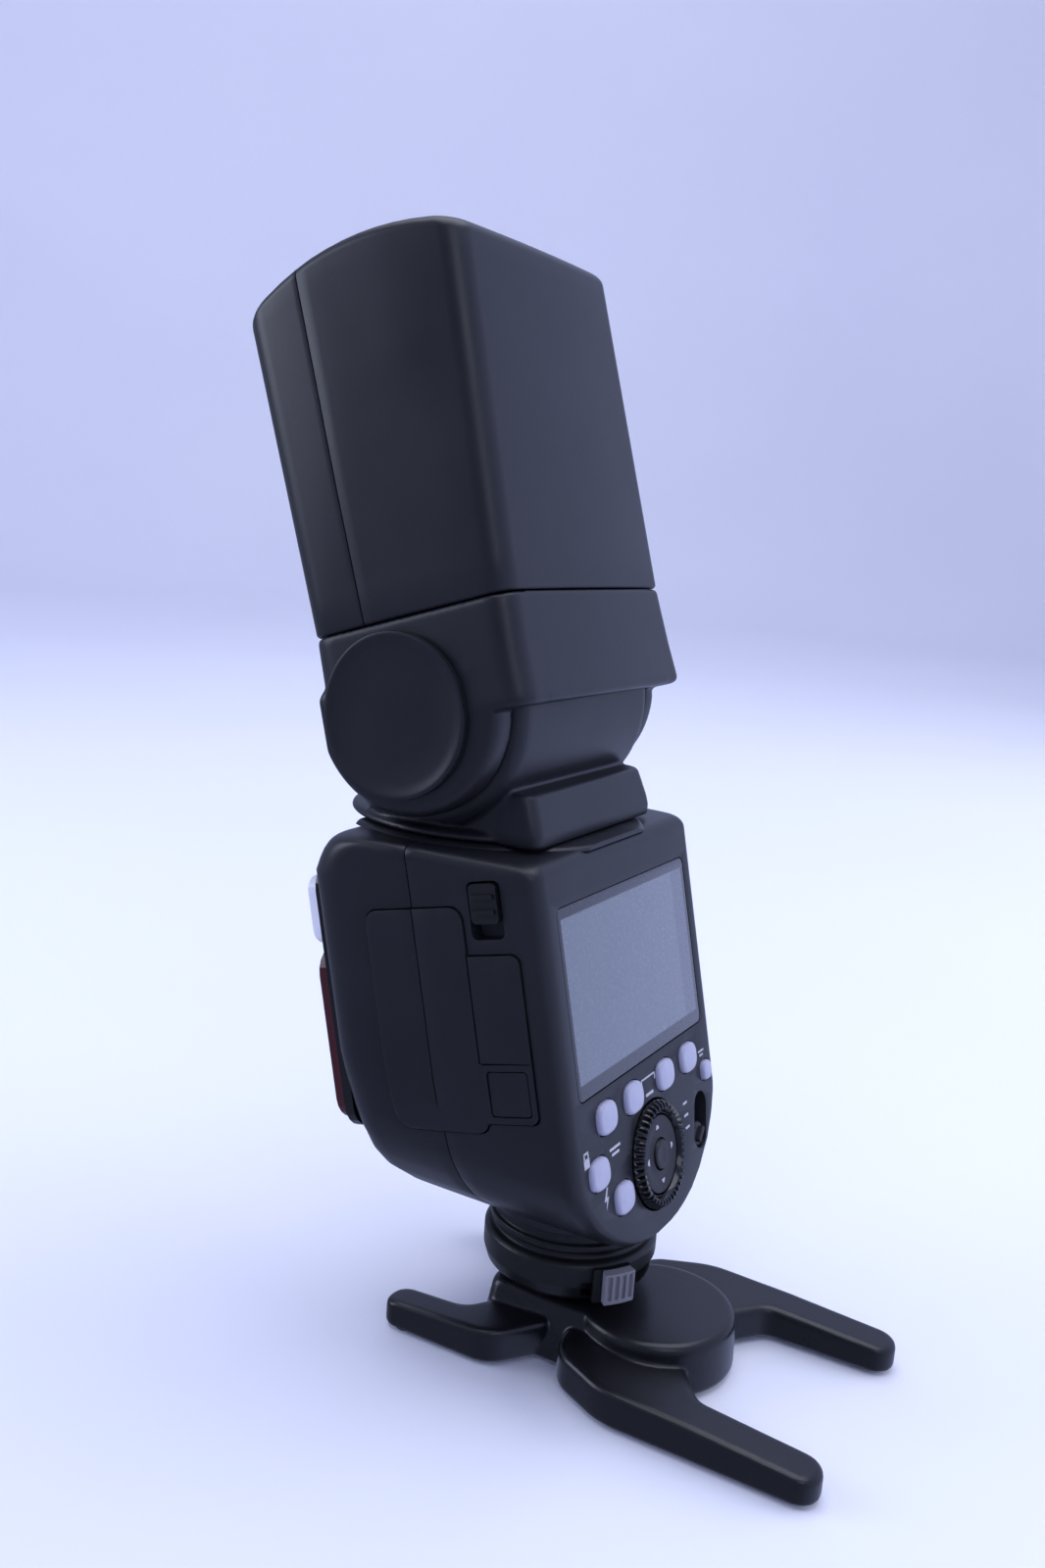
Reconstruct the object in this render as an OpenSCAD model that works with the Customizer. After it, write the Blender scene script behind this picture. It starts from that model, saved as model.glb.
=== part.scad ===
// Speedlight flash standing in a small table stand.
// Millimetres, +Z up, Z = 0 is the table, the rear display faces -Y.

/* [Node] */
// Which part to draw

/* [Body] */
// Forward lean of the control body, degrees
lean = 12.7; // [0:0.1:20]
// Half width at the display face
half_back = 33.7; // [28:0.1:40]
// Half width at the front face
half_front = 37.6; // [30:0.1:42]
// Display face, distance behind the foot axis
face_y = 26.8; // [22:0.1:32]
// Front face, distance ahead of the foot axis
front_y = 24; // [20:0.1:32]
// Height of the body top above the table
top_z = 105.5; // [95:0.5:115]
// Height of the body underside
bottom_z = 28.5; // [20:0.5:32]
// Shell wall
wall = 2.2; // [1.6:0.1:3]

/* [Display] */
// Display window, half width
lcd_hw = 28.2; // [20:0.1:30]
// Display window, lower edge
lcd_z0 = 57.6; // [50:0.1:62]
// Display window, upper edge
lcd_z1 = 93.7; // [80:0.1:98]

/* [Controls] */
// Height of the upper key row
key_z = 52.2; // [48:0.1:55]
// Control dial radius
dial_r = 10.7; // [8:0.1:13]
// Control dial height
dial_z = 38.2; // [34:0.1:42]

/* [Neck and head] */
// Swivel axis, ahead of the foot axis
swivel_y = 25; // [15:0.5:30]
// Swivel base radius
swivel_r = 29.4; // [20:0.1:32]
// Tilt pivot, ahead of the foot axis
piv_y = 27.5; // [15:0.1:32]
// Tilt pivot height
piv_z = 128.9; // [120:0.1:140]
// Head lean, degrees from upright
head_lean = 17.1; // [0:0.1:30]
// Neck drum radius
drum_r = 23; // [18:0.1:25]
// Head height above the pivot
head_top = 81.5; // [70:0.5:90]
// Head half width at the lens
head_hw1 = 29.6; // [26:0.1:36]
// Head half width at the pivot
head_hw0 = 34.4; // [28:0.1:38]

/* [Foot and stand] */
// Foot disc radius
foot_r = 18; // [15:0.1:22]
// Stand plate height
plate_z = 11.6; // [9:0.1:14]
// Shoe plate width
shoe_w = 18.6; // [18.4:0.05:18.7]
// Shoe plate thickness
shoe_t = 2; // [1.9:0.05:2.1]
// Leg outer edge, half width
leg_x = 28; // [24:0.5:34]

/* [Hidden] */
$fn = 34;
lc = cos(lean);
ls = sin(lean);
split_y = -0.8;
body_c = [0.035, 0.035, 0.045];
inner_c = [0.12, 0.12, 0.13];
shoe_z0 = plate_z - 1.7 - shoe_t;

// ---- helpers ----
function bw(y, z) = [y * lc + z * ls, z * lc - y * ls];
function arc(a, p, c, r, n) =
  let (u = (a - p) / norm(a - p), v = (c - p) / norm(c - p), h = acos(u * v) / 2,
       o = p + (u + v) / norm(u + v) * r / sin(h), s = p + u * r / tan(h), e = p + v * r / tan(h),
       a0 = atan2(s[1] - o[1], s[0] - o[0]), a1 = atan2(e[1] - o[1], e[0] - o[0]),
       da = ((a1 - a0 + 540) % 360) - 180)
  [for (i = [0 : n]) o + r * [cos(a0 + da * i / n), sin(a0 + da * i / n)]];
function round_poly(q, n = 6) = let (m = len(q))
  [for (i = [0 : m - 1])
    let (p = [q[i][0], q[i][1]], a = [q[(i + m - 1) % m][0], q[(i + m - 1) % m][1]],
         c = [q[(i + 1) % m][0], q[(i + 1) % m][1]])
    each (q[i][2] > 0 ? arc(a, p, c, q[i][2], n) : [p])];
function rect_pts(x0, x1, z0, z1, r) = round_poly([[x0, z0, r], [x1, z0, r], [x1, z1, r], [x0, z1, r]], 5);
module bod() rotate([-lean, 0, 0]) children();
module hed() translate([0, piv_y, piv_z]) rotate([-head_lean, 0, 0]) children();
// profile in (y, z), extruded along X
module along_x(p, x0, x1) translate([x0, 0, 0]) rotate([90, 0, 90]) linear_extrude(x1 - x0) polygon(p);
// profile in (x, z), extruded along Y
module along_y(p, y0, y1) translate([0, y1, 0]) rotate([90, 0, 0]) linear_extrude(y1 - y0) polygon(p);
module bx(x0, x1, y0, y1, z0, z1) translate([x0, y0, z0]) cube([x1 - x0, y1 - y0, z1 - z0]);
module rr_y(x0, x1, z0, z1, r, y0, y1) along_y(rect_pts(x0, x1, z0, z1, r), y0, y1);
module rr_x(y0, y1, z0, z1, r, x0, x1) along_x(rect_pts(y0, y1, z0, z1, r), x0, x1);
module cyl_y(x, z, r, y0, y1) translate([x, y1, z]) rotate([90, 0, 0]) cylinder(h = y1 - y0, r = r);
module cyl_x(y, z, r, x0, x1) translate([x0, y, z]) rotate([0, 90, 0]) cylinder(h = x1 - x0, r = r);
module cyl_z(x, y, r, z0, z1) translate([x, y, z0]) cylinder(h = z1 - z0, r = r);

// ---- body outline, t = distance inside the outer skin ----
module body_solid(t) intersection() {
  along_x(round_poly([[bw(-face_y + t, 0)[0] + (top_z - t) * ls / lc + face_y * 0
      - (bw(-face_y + t, 0)[1]) * ls / lc, top_z - t, 1.5], [45.5 - t, top_z - t, 9],
      [35.6 - t, 45, 8], [29.5 - t, bottom_z + 2.5 + t * 0.5, 9], [14, bottom_z + t, 12],
      [bw(-face_y + t, 0)[0] + (bottom_z + t - bw(-face_y + t, 0)[1]) * ls / lc, bottom_z + t, 2.5]], 6),
      -45, 45);
  along_y(let (q = [[38 - t, 66, 0], [34.4 - t, 50, 12], [29.5 - t, 40, 10], [21.9 - t * 0.7, bottom_z + 4.6 + t * 0.8, 12],
        [13, bottom_z + 1 + t, 14], [5, bottom_z + t, 8]], n = len(q))
      round_poly(concat([[38 - t, 120, 0]], q, [for (i = [n - 1 : -1 : 0]) [-q[i][0], q[i][1], q[i][2]]],
        [[-38 + t, 120, 0]]), 4), -60, 80);
  bod() linear_extrude(130) polygon(round_poly([[-half_back + t, -face_y + t, 3.2],
      [half_back - t, -face_y + t, 3.2], [half_front - t, front_y - t, 8],
      [-half_front + t, front_y - t, 8]], 7));
}
module key_cut(x, z, w, h, r) rr_y(x - w / 2 - 0.3, x + w / 2 + 0.3, z - h / 2 - 0.3, z + h / 2 + 0.3,
    r + 0.3, -face_y - 5, -face_y + 8);
module battery_plan(g, x0, x1) {
  rr_x(-11.1 - g, 9.5 + g, 53.6 - g, 96.1 + g, 2.5, x0, x1);
  rr_x(-21.5 - g, -9, 55.6 - g, 86.9 + g, 1.6, x0, x1);
}
module shell_cuts() {
  bod() {
    // display recess and window
    rr_y(-lcd_hw - 0.1, lcd_hw + 0.1, lcd_z0 - 0.1, lcd_z1 + 0.1, 1.6, -face_y - 5, -face_y + 1.2);
    rr_y(-26.4, 26.4, 60, 91.8, 0.8, -face_y - 5, -face_y + 6);
    for (x = [-19.1, -7.4, 7.4, 19.1]) key_cut(x, key_z, 7.4, 6.2, 2.2);
    key_cut(27.3, 47, 4.2, 4.2, 1.5);
    key_cut(-24.4, 43.2, 7.2, 6, 2.1);
    key_cut(-15.9, 35.4, 7.2, 6, 2.1);
    cyl_y(0, dial_z, dial_r + 0.3, -face_y - 5, -face_y + 8);
    cyl_y(0, dial_z, dial_r + 1.05, -24.65, -face_y + 8);
    translate([22.3, 0, 37.6]) rotate([0, 16, 0]) {
      rr_y(-3.1, 3.1, -6, 6, 2.8, -face_y - 5, -face_y + 8);
      rr_y(-3.9, 3.9, -6.6, 5.4, 2.8, -24.5, -face_y + 8);
    }
    // battery bay, lock slider and port openings
    intersection() { battery_plan(0.25, -50, -28); bx(-50, -20, -30, 30, 0, 130); }
    rr_x(-19.3, -12.7, 89.8, 100.6, 1.2, -50, -28);
    rr_x(-9.2, 9.2, 61.8, 90.2, 2, 28, 50);
    // front panel openings
    rr_y(-24, 24, 54, 84, 2, front_y - 6, front_y + 6);
    rr_y(-24, 24, 91, 99, 2, front_y - 6, front_y + 6);
  }
  // swivel opening in the top, cable opening and screw holes in the floor
  cyl_z(0, swivel_y, 17.5, top_z - 6, top_z + 2);
  cyl_z(0, 0, 5, bottom_z - 3, bottom_z + 5);
  for (i = [45 : 90 : 359]) cyl_z(12 * cos(i), 12 * sin(i), 1.05, bottom_z - 3, bottom_z + 5);
}
module skirt() intersection() {
  cyl_z(0, 0, 17.2, bottom_z, bottom_z + 7);
  bod() bx(-60, 60, -face_y, 60, -10, 140);
}
module shell() difference() {
  union() { body_solid(0); skirt(); }
  body_solid(wall);
  shell_cuts();
}
module rear_shell() color(body_c) intersection() { shell(); bod() bx(-60, 60, -60, split_y, -10, 140); }
module front_shell() color(body_c) intersection() { shell(); bod() bx(-60, 60, split_y + 0.06, 60, -10, 140); }

// ---- display and boards ----
module lcd_glass() color([0.1, 0.11, 0.14, 0.6]) bod()
  rr_y(-lcd_hw, lcd_hw, lcd_z0, lcd_z1, 1.5, -face_y, -face_y + 1.1);
module lcd_module() color([0.5, 0.52, 0.6]) bod() {
  rr_y(-26.2, 26.2, 60.2, 91.6, 0.6, -face_y + 1.2, -face_y + 2);
  bx(-27.5, 27.5, -face_y + 2.3, -face_y + 4.6, 58.8, 92.8);
  bx(-26, 26, -face_y + 2, -face_y + 2.3, 60.4, 91.4);
}
module control_pcb() color([0.05, 0.2, 0.1]) intersection() {
  body_solid(wall + 0.8);
  bod() difference() {
    bx(-29.5, 29.5, -20.6, -19.4, 30, 95);
    cyl_y(0, dial_z, 3.2, -30, -10);
  }
}
module key_switches() color([0.6, 0.6, 0.6]) bod() {
  for (x = [-19.1, -7.4, 7.4, 19.1]) bx(x - 2.4, x + 2.4, -21.3, -20.62, key_z - 2.4, key_z + 2.4);
  bx(25.3, 29.3, -21.3, -20.62, 45, 49);
  bx(-26.8, -22, -21.3, -20.62, 40.8, 45.6);
  bx(-18.3, -13.5, -21.3, -20.62, 33.2, 37.8);
}
module main_pcb() color([0.05, 0.2, 0.1]) bod() bx(3, 4.4, -17.5, 19, 44, 96);
module main_capacitor() color([0.08, 0.09, 0.16]) bod() {
  cyl_z(15, 10, 8.5, 52, 94);
  cyl_z(11.5, 10, 0.5, 49, 52);
  cyl_z(18.5, 10, 0.5, 49, 52);
}
module transformer() color([0.3, 0.2, 0.1]) bod() {
  bx(7, 21, -17, -4, 62, 64);
  bx(9, 19, -15.5, -5.5, 64, 74);
  bx(7, 21, -17, -4, 74, 76);
}
module battery_contacts() color([0.75, 0.6, 0.3]) bod() {
  for (z = [62, 72, 82]) bx(1.2, 2.9, -4, 2, z - 1.5, z + 1.5);
}

// ---- front panel ----
module front_bezel() color([0.03, 0.03, 0.035]) bod() difference() {
  rr_y(-30, 30, 50, 104, 5, front_y + 0.05, front_y + 2.2);
  rr_y(-26.1, 26.1, 52.9, 86.1, 3, front_y - 1, front_y + 5);
  rr_y(-26.1, 26.1, 88.9, 101.1, 3, front_y - 1, front_y + 5);
}
module led_diffuser() color([0.9, 0.9, 0.88]) bod() {
  rr_y(-26, 26, 89, 101, 3, front_y + 0.05, front_y + 2.4);
  rr_y(-29.4, 29.4, 88, 101.8, 3, front_y + 2.3, front_y + 4.6);
  rr_y(-23.5, 23.5, 91.5, 98.5, 1.5, front_y - 3.5, front_y + 0.1);
}
module af_window() color([0.25, 0.01, 0.02, 0.7]) bod() {
  rr_y(-26, 26, 53, 86, 3, front_y + 0.05, front_y + 2.4);
  rr_y(-29.4, 29.4, 51.4, 86.8, 5, front_y + 2.3, front_y + 4.6);
  rr_y(-23.5, 23.5, 54.5, 83.5, 1.5, front_y - 3.2, front_y + 0.1);
}
module port_block() color(inner_c) bod() difference() {
  union() {
    rr_x(-8.8, 8.8, 62.2, 89.8, 1.8, 25, 34.2);
    // flush panel with the sync jack
    rr_x(-8.8, 8.8, 80.4, 89.8, 1.5, 34, 37);
  }
  cyl_x(0, 85, 1.25, 20, 40);
  rr_x(-4.5, 4.5, 68, 71.4, 1.6, 27, 40);
}
module port_cover() color([0.05, 0.05, 0.055]) bod() difference() {
  rr_x(-9, 9, 62, 80, 2, 34.6, 37.4);
  rr_x(-8.2, -6.8, 66, 76, 0.5, 37, 38);
}
module swivel_collar() color(body_c) difference() {
  intersection() {
    translate([0, swivel_y, top_z - 0.6]) cylinder(h = 2.2, r = 30.2);
    bx(-60, 60, -60, swivel_y + 18.5, 0, 200);
  }
  cyl_z(0, swivel_y, 14.05, top_z - 2, top_z + 4);
  cyl_z(0, swivel_y, 32, top_z - 2, top_z + 0.0);
}

// ---- keys ----
module key_shape(x, z, w, h, r) color([0.75, 0.75, 0.82]) bod() {
  intersection() {
    rr_y(x - w / 2, x + w / 2, z - h / 2, z + h / 2, r, -face_y - 1.1, -21.95);
    union() {
      cyl_x(-face_y + 6.9, z, 8, x - w / 2, x + w / 2);
      bx(x - w, x + w, -face_y + 1, -20, z - h, z + h);
    }
  }
  rr_y(x - w / 2 - 0.6, x + w / 2 + 0.6, z - h / 2 - 0.6, z + h / 2 + 0.6, r + 0.5, -23.65, -21.95);
}
module key_1() key_shape(-19.1, key_z, 7.4, 6.2, 2.2);
module key_2() key_shape(-7.4, key_z, 7.4, 6.2, 2.2);
module key_3() key_shape(7.4, key_z, 7.4, 6.2, 2.2);
module key_4() key_shape(19.1, key_z, 7.4, 6.2, 2.2);
module key_test() key_shape(27.3, 47, 4.2, 4.2, 1.5);
module key_lock() key_shape(-24.4, 43.2, 7.2, 6, 2.1);
module key_mode() key_shape(-15.9, 35.4, 7.2, 6, 2.1);
module dial_ring() color([0.03, 0.03, 0.03]) bod() difference() {
  union() {
    cyl_y(0, dial_z, dial_r, -face_y - 1.8, -23);
    cyl_y(0, dial_z, dial_r + 0.7, -24.4, -23.9);
  }
  cyl_y(0, dial_z, 8.1, -face_y - 5, -20);
}
module nav_pad() color([0.05, 0.05, 0.055]) bod() difference() {
  cyl_y(0, dial_z, 7.8, -face_y - 1.1, -22.4);
  cyl_y(0, dial_z, 3.3, -face_y - 5, -20);
}
module set_button() color([0.05, 0.05, 0.055]) bod() {
  cyl_y(0, dial_z, 3, -face_y - 1.5, -21.8);
}
module power_knob() color([0.05, 0.05, 0.055]) bod() translate([22.3, 0, 37.6]) rotate([0, 16, 0]) {
  rr_y(-2.8, 2.8, -5.7, -0.7, 2.4, -face_y + 0.6, -face_y + 3.6);
  rotate([0, 25, 0]) translate([1.4, 0, -2.9]) bx(-0.6, 0.6, -face_y - 0.6, -face_y + 1, -2, 2);
  rr_y(-3.5, 3.5, -6.2, -0.5, 2.6, -24.1, -23.1);
}

// ---- battery ----
module battery_case() color(body_c) bod() {
  difference() {
    union() {
      rotate([lean, 0, 0]) intersection() {
        difference() { body_solid(-0.5); body_solid(1.9); }
        bod() battery_plan(0, -50, -28);
      }
      rr_x(-10.8, 9.2, 54, 95.8, 2.2, -34.6, 0.6);
    }
    bx(-33.4, -0.8, -9.4, 7.8, 55.4, 94.4);
    rr_x(-20.5, -12.1, 56.8, 65.6, 0.8, -40, -30);
  }
}
module battery_cells() color([0.1, 0.2, 0.5]) bod() {
  for (z = [64.5, 85.3]) cyl_x(-0.8, z, 8.3, -32.9, -1.2);
}
module latch_button() color([0.06, 0.06, 0.065]) intersection() {
  difference() { body_solid(-0.3); body_solid(2); }
  bod() rr_x(-20.2, -12.4, 57.1, 65.3, 0.6, -50, -28);
}
module lock_slider() color([0.05, 0.05, 0.055]) bod() {
  rr_x(-18.9, -13.1, 92.8, 100.2, 1, -35.2, -32);
  bx(-35.7, -35, -18.3, -13.7, 94.6, 95.4);
  bx(-35.7, -35, -18.3, -13.7, 97.4, 98.2);
}

// ---- foot ----
module foot_base() color(body_c) difference() {
  rotate_extrude() polygon([[0, plate_z + 0.2], [8, plate_z + 0.2], [14, 13.2], [17.2, 15.6], [foot_r, 18],
      [foot_r, 22.2], [17.2, 23], [16.2, 23.2], [16.2, 24.6], [17, 24.8], [17, 26.2], [16.2, 26.4],
      [16.2, bottom_z - 0.05], [0, bottom_z - 0.05]]);
  // lever chamber and the slot the lever sweeps in
  rotate_extrude() polygon([[8.95, 15.5], [15.4, 15.5], [15.4, 19], [8.95, 19]]);
  rotate([0, 0, -144]) rotate_extrude(angle = 82) polygon([[14.6, 15.65], [24, 15.65], [24, 18.85], [14.6, 18.85]]);
  cyl_z(0, 0, 3, plate_z, bottom_z + 1);
  cyl_z(0, -7.2, 1.25, plate_z - 1, 18.4);
  for (i = [45 : 90 : 359]) cyl_z(12 * cos(i), 12 * sin(i), 1.05, 19.5, bottom_z + 1);
}
module shoe_plate() color([0.6, 0.6, 0.6]) difference() {
  union() {
    bx(-shoe_w / 2, shoe_w / 2, -9.3, 9.3, shoe_z0, shoe_z0 + shoe_t);
    bx(-6.2, 6.2, -8.8, 8.8, shoe_z0 + shoe_t, plate_z + 0.15);
  }
  bx(-4.6, 4.6, -4.6, 5.6, shoe_z0 - 1, plate_z + 1);
  cyl_z(0, -7.2, 1.25, shoe_z0 - 1, plate_z + 1);
}
module contact_block($fn = 16) color(inner_c) difference() {
  bx(-4.5, 4.5, -4.5, 5.5, shoe_z0 + 0.1, plate_z + 0.1);
  cyl_z(0, 0, 0.95, shoe_z0 - 1, plate_z + 1);
  for (x = [-2.8, 2.8]) for (y = [-3, 3.4]) cyl_z(x, y, 0.75, shoe_z0 - 1, plate_z + 1);
}
module contact_pins($fn = 16) color([0.85, 0.7, 0.35]) {
  cyl_z(0, 0, 0.9, shoe_z0 - 0.4, plate_z - 1);
  for (x = [-2.8, 2.8]) for (y = [-3, 3.4]) cyl_z(x, y, 0.7, shoe_z0 - 0.4, plate_z - 1);
}
module foot_screws($fn = 20) color([0.6, 0.6, 0.6])
  for (i = [45 : 90 : 359]) {
    cyl_z(12 * cos(i), 12 * sin(i), 1.0, 20, bottom_z + 3.6);
    cyl_z(12 * cos(i), 12 * sin(i), 1.9, bottom_z + 3.6, bottom_z + 5);
  }
module lock_lever() color([0.05, 0.05, 0.055]) difference() {
  union() {
    rotate_extrude() polygon([[9, 15.8], [14.9, 15.8], [14.9, 18.7], [9, 18.7]]);
    rotate([0, 0, -136]) rotate_extrude(angle = 20) polygon([[14, 15.8], [19.4, 15.8], [19.4, 18.7], [14, 18.7]]);
    rotate([0, 0, -138]) rotate_extrude(angle = 24) polygon([[18.4, 15.6], [19.4, 15.6], [19.4, 22.6], [18.4, 22.6]]);
  }
}
module lever_grip() color([0.5, 0.5, 0.52]) difference() {
  rotate([0, 0, -133]) rotate_extrude(angle = 18) polygon([[19.5, 15.8], [21.4, 16], [21.4, 22.4], [19.5, 22.6]]);
  for (i = [-130.1 : 4.1 : -117]) rotate([0, 0, i]) bx(20.8, 22, -0.4, 0.4, 16.8, 21.8);
}
module lock_pin() color([0.6, 0.6, 0.6]) cyl_z(0, -7.2, 1.2, shoe_z0 + 0.3, 17.8);

// ---- stand ----
module leg(sx) {
  scale([1, 1, 1]) mirror([sx < 0 ? 1 : 0, 0, 0]) {
    // long leg
    intersection() {
      linear_extrude(9) polygon(round_poly([[10, -7, 0], [16.5, -8.5, 1], [23, -10.5, 5], [leg_x, -24, 12],
          [leg_x, -64, 4], [19.5, -64, 4], [19.5, -40, 2], [13, -33, 2]], 6));
      along_x(round_poly([[0, 0.8, 0], [-64.5, 0.8, 0], [-64.5, 5, 3], [-40, 7, 0], [-18, 7.8, 0], [0, 8, 0]], 5),
          5, 40);
    }
    // short leg
    intersection() {
      linear_extrude(9) polygon(round_poly([[10, 8, 0], [10, -4, 0], [16, -4, 1], [leg_x - 3, 3, 6],
          [leg_x - 3, 30, 3.5], [17.5, 30, 3.5], [17.5, 13, 2]], 6));
      along_x(round_poly([[-5, 0.8, 0], [30.5, 0.8, 0], [30.5, 4.4, 3], [-5, 8.4, 0]], 5), 5, 40);
    }
  }
}
module stand_frame() color(body_c) difference() {
  union() {
    intersection() {
      linear_extrude(plate_z) polygon(round_poly([[-16.5, 8.5, 3], [-16.5, -30, 5], [-9, -37, 12],
          [9, -37, 12], [16.5, -30, 5], [16.5, 8.5, 3], [9, 12, 6], [-9, 12, 6]], 6));
      along_y(round_poly([[-16.6, 0.8, 0], [16.6, 0.8, 0], [15.4, 4, 0], [11.4, plate_z, 1.2],
          [-11.4, plate_z, 1.2], [-15.4, 4, 0]], 4), -40, 20);
    }
    leg(1);
    leg(-1);
  }
  // shoe channel, open towards +Y, with a groove for the lock pin
  bx(-shoe_w / 2 - 0.2, shoe_w / 2 + 0.2, -9.6, 50, shoe_z0 - 0.8, shoe_z0 + shoe_t + 0.1);
  bx(-6.5, 6.5, -9.6, 50, shoe_z0, plate_z + 1);
  bx(-1.8, 1.8, -9.2, 50, shoe_z0 - 2.0, shoe_z0);
  cyl_z(0, 0, 5.02, -1, 5.8);
  for (p = [[23.7, -59], [-23.7, -59], [21.2, 25.5], [-21.2, 25.5]]) cyl_z(p[0], p[1], 2.8, 0, 1.2);
}
module tripod_insert() color([0.8, 0.65, 0.35]) difference() {
  cyl_z(0, 0, 5, 0, 5.6);
  cyl_z(0, 0, 3.175, -1, 5.1);
}
module stand_pads() color([0.08, 0.08, 0.08])
  for (p = [[23.7, -59], [-23.7, -59], [21.2, 25.5], [-21.2, 25.5]]) cyl_z(p[0], p[1], 2.5, 0, 1.15);

// ---- neck ----
module neck_housing() color(body_c) difference() {
  union() {
    // flared base
    translate([0, swivel_y, top_z + 1.85]) cylinder(h = 1.15, r = swivel_r);
    intersection() {
      along_x([[1, top_z + 2.1], [4.6, 115.6], [6.5, 116.2], [40.3, 116.2], [40.3, top_z + 2.1]], -25, 25);
      linear_extrude(130) polygon(round_poly([[-25, 1, 3], [25, 1, 3], [25, 42, 1], [-25, 42, 1]], 5));
    }
    intersection() {
      cyl_x(piv_y, piv_z, drum_r, -27.4, 27.4);
      bx(-30, 30, 0, 45.6, top_z + 1.6, 160);
    }
    // spigot through the body top
    cyl_z(0, swivel_y, 14, 101.5, top_z + 2);
  }
  cyl_x(piv_y, piv_z, 6.02, -40, 40);
  cyl_x(piv_y, piv_z, 17, -24.5, 24.5);
  cyl_z(0, swivel_y, 8, 90, 120);
  bx(-50, 50, 46.2, 80, 109, 160);
}
module swivel_ring() color([0.6, 0.6, 0.6]) difference() {
  cyl_z(0, swivel_y, 17, 103.2, 105.3);
  cyl_z(0, swivel_y, 14.02, 90, 120);
}
module pivot_shaft() color([0.6, 0.6, 0.6]) difference() {
  cyl_x(piv_y, piv_z, 6, -27.9, 27.9);
  cyl_x(piv_y, piv_z, 4, -40, 40);
}

// ---- head, measured from the tilt pivot ----
module head_solid(t) intersection() {
  along_y(round_poly([[-head_hw0 + t, -30, 0], [head_hw0 - t, -30, 0], [head_hw0 - t, 0, 0], [33 - t, 17.5, 0],
      [head_hw1 - t, head_top + 3.5 - t * 1.2, 2.6], [0, head_top + 5 - t * 1.2, 90],
      [-head_hw1 + t, head_top + 3.5 - t * 1.2, 2.6], [-33 + t, 17.5, 0], [-head_hw0 + t, 0, 0]], 6), -60, 60);
  union() {
    along_x(round_poly([[18.4 - t, -3 + 0.01, 0], [22 - t, head_top - 0.8 - t * 1.2, 2],
        [2, head_top + 7.4 - t * 1.2, 40], [-18, head_top + 6 - t * 1.2, 40],
        [-29.8 + t, head_top + 0.6 - t * 1.2, 2], [-27.4 + t, 14, 60], [-28.2 + t, -3, 1]], 6), -60, 60);
    cyl_x(-1.2, 1.2, 20.6 - t, -60, 60);
    along_x([[-21, -4.8], [-21, 5], [10, 5], [10, -4.8]], -60, 60);
  }
}
module head_shell() difference() {
  head_solid(0);
  intersection() {
    head_solid(2);
    bx(-32, 32, -60, 60, -60, 100);
    union() { bx(-60, 60, -60, 60, 24.5, 100); bx(-27.8, 27.8, -60, 60, -60, 24.6); }
  }
  cyl_x(0, 0, drum_r + 0.4, -27.8, 27.8);
  bx(-27.8, 27.8, -30, 30, -40, -3);
  cyl_x(0, 0, 6.05, -33, 33);
}
module head_lower() color(body_c) hed() {
  intersection() { head_shell(); bx(-60, 60, -60, 60, -40, 17.5); }
  for (s = [-1, 1]) difference() {
    cyl_x(0, 0, 18.2, s > 0 ? head_hw0 - 0.1 : -head_hw0 - 0.45, s > 0 ? head_hw0 + 0.45 : -head_hw0 + 0.1);
    cyl_x(0, 0, 15.9, s > 0 ? head_hw0 : -head_hw0 - 1, s > 0 ? head_hw0 + 1 : -head_hw0);
  }
}
module head_rear() color(body_c) hed() intersection() {
  difference() { head_shell(); bx(-25.6, 25.6, -24.3, -20.4, 70, 100); bx(-26.6, 26.6, -20.4, 16.4, 76, 100); }
  along_x([[-60, 17.56], [3.8, 17.56], [5.9, head_top - 2.5], [-60, head_top - 2.5]], -60, 60);
}
module head_front() color(body_c) hed() intersection() {
  head_shell();
  along_x([[3.86, 17.56], [60, 17.56], [60, head_top - 2.5], [5.96, head_top - 2.5]], -60, 60);
}
module head_bezel() color([0.03, 0.03, 0.035]) hed() difference() {
  intersection() { head_solid(0); bx(-60, 60, -60, 60, head_top - 2.45, 100); }
  rr(-24.3, 24.3, -19.4, 14.8, 2, head_top - 5, head_top + 12);
  bx(-25.3, 25.3, -24.1, -20.7, head_top - 5, head_top + 12);
}
module rr(x0, x1, y0, y1, r, z0, z1) translate([0, 0, z0]) linear_extrude(z1 - z0)
  polygon(rect_pts(x0, x1, y0, y1, r));
module fresnel_lens() color([0.85, 0.88, 0.92, 0.4]) hed() {
  rr(-24.1, 24.1, -19.2, 14.6, 2, head_top - 2.6, head_top + 2.6);
  bx(-26.5, 26.5, -19.9, 16.2, head_top - 4, head_top - 2.55);
}
module pivot_caps() color([0.045, 0.045, 0.05]) hed() for (s = [-1, 1]) {
  difference() {
    cyl_x(0, 0, 15.6, s > 0 ? head_hw0 + 0.02 : -head_hw0 - 1.1, s > 0 ? head_hw0 + 1.1 : -head_hw0 - 0.02);
    translate([s * (head_hw0 + 47.2), 0, 0]) sphere(r = 46.6, $fn = 60);
  }
}
module head_frame() color(inner_c) hed() {
  difference() {
    bx(-29, 29, -19.5, 15.5, 27, 28.6);
    for (x = [-26, 26]) cyl_z(x, 8, 1.5, 20, 40);
    cyl_z(22, -12, 1.6, 20, 40);
  }
  for (x = [-26, 26]) cyl_z(x, 8, 1.45, 27.4, head_top - 4.1);
}
module zoom_motor() color([0.6, 0.6, 0.6]) hed() cyl_z(22, -12, 5.5, 28.7, 41);
module zoom_screw() color([0.6, 0.6, 0.6]) hed() difference() {
  cyl_z(22, -12, 1.5, 41.4, head_top - 5);
  bx(23.1, 24, -13, -11, 41, head_top - 8);
}
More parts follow.
